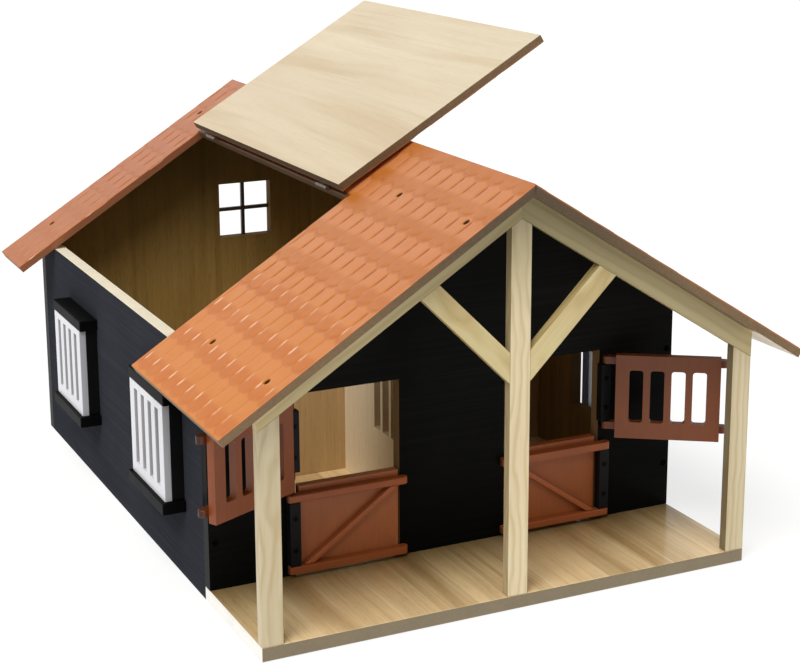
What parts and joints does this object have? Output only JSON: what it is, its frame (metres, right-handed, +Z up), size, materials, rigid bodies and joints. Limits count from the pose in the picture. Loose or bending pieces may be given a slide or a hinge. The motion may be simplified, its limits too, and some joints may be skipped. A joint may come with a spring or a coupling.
{
  "type": "toy barn",
  "caption": "Wooden toy stable with a porch, split stable doors, barred side windows and a hinged roof hatch.",
  "frame": {"origin": "middle of the overall box in X and Y, on the ground under the floor board", "axes": "+Z up; -Y towards the porch and doors, +Y towards the rear gable; +X to the right seen from the front"},
  "size_m": [0.4028, 0.512, 0.3415],
  "materials": {
    "roof_tile": "orange stained board with pressed tile rows, satin",
    "pine": "bare pale pine, satin",
    "oak_floor": "oak print with long grain, satin",
    "wall_dark": "blue-black satin paint outside, brown wood inside",
    "inner_pine": "pale wood with upright grain, satin",
    "black_trim": "black satin paint",
    "white_trim": "white satin paint",
    "door_brown": "red-brown satin stain",
    "steel": "zinc plated, brushed",
    "dark_screw": "black burnished screw"
  },
  "bodies": {
    "root": {"floor_board": "oak_floor", "front_wall": "wall_dark", "rear_wall": "wall_dark", "left_wall": "wall_dark", "right_wall": "wall_dark", "gable_window_cross": "wall_dark", "centre_partition": "inner_pine", "cross_wall": "inner_pine", "roof_left_board": "roof_tile", "roof_right_board": "roof_tile", "flap_hinge_fixed_leaves": "steel", "flap_hinge_pins": "steel", "flap_hinge_fixed_screws": "steel", "door_hinge_pins": "steel", "left_post": "pine", "right_post": "pine", "king_post": "pine", "left_rafter": "pine", "right_rafter": "pine", "left_strut": "pine", "right_strut": "pine", "left_window_strips": "black_trim", "right_window_strips": "black_trim", "left_front_grille": "white_trim", "left_front_lintel": "black_trim", "left_front_sill": "black_trim", "left_rear_grille": "white_trim", "left_rear_lintel": "black_trim", "left_rear_sill": "black_trim", "left_lower_batten": "black_trim", "left_upper_batten": "black_trim", "right_front_grille": "white_trim", "right_front_lintel": "black_trim", "right_front_sill": "black_trim", "right_rear_grille": "white_trim", "right_rear_lintel": "black_trim", "right_rear_sill": "black_trim", "right_lower_batten": "black_trim", "right_upper_batten": "black_trim", "batten_screws": "dark_screw", "roof_screws": "dark_screw", "wall_screws": "dark_screw"},
    "roof_flap": {"roof_flap": "roof_tile", "flap_hinge_moving_leaves": "steel", "flap_hinge_moving_screws": "steel"},
    "left_lower_door": {"left_lower_door": "door_brown", "left_lower_top_rail": "door_brown", "left_lower_bottom_rail": "door_brown", "left_lower_brace": "door_brown"},
    "left_upper_door": {"left_upper_door": "door_brown", "left_upper_top_rail": "door_brown", "left_upper_bottom_rail": "door_brown"},
    "right_lower_door": {"right_lower_door": "door_brown", "right_lower_top_rail": "door_brown", "right_lower_bottom_rail": "door_brown", "right_lower_brace": "door_brown"},
    "right_upper_door": {"right_upper_door": "door_brown", "right_upper_top_rail": "door_brown", "right_upper_bottom_rail": "door_brown"}
  },
  "joints": [
    {"name": "roof_hatch", "type": "hinge", "parent": "root", "child": "roof_flap", "pos_m": [-0.05269, 0.051, 0.24382], "axis": [0, -1, 0], "range_deg": [0, 181.4]},
    {"name": "left_upper_hinge", "type": "hinge", "parent": "root", "child": "left_upper_door", "pos_m": [-0.117, -0.1533, 0.1], "axis": [0, 0, -1], "range_deg": [-154, 24]},
    {"name": "right_upper_hinge", "type": "hinge", "parent": "root", "child": "right_upper_door", "pos_m": [0.117, -0.1533, 0.1], "axis": [0, 0, 1], "range_deg": [-146, 32]},
    {"name": "left_lower_hinge", "type": "hinge", "parent": "root", "child": "left_lower_door", "pos_m": [-0.117, -0.1533, 0.04], "axis": [0, 0, -1], "range_deg": [0, 178]},
    {"name": "right_lower_hinge", "type": "hinge", "parent": "root", "child": "right_lower_door", "pos_m": [0.117, -0.1533, 0.04], "axis": [0, 0, 1], "range_deg": [0, 178]}
  ]
}
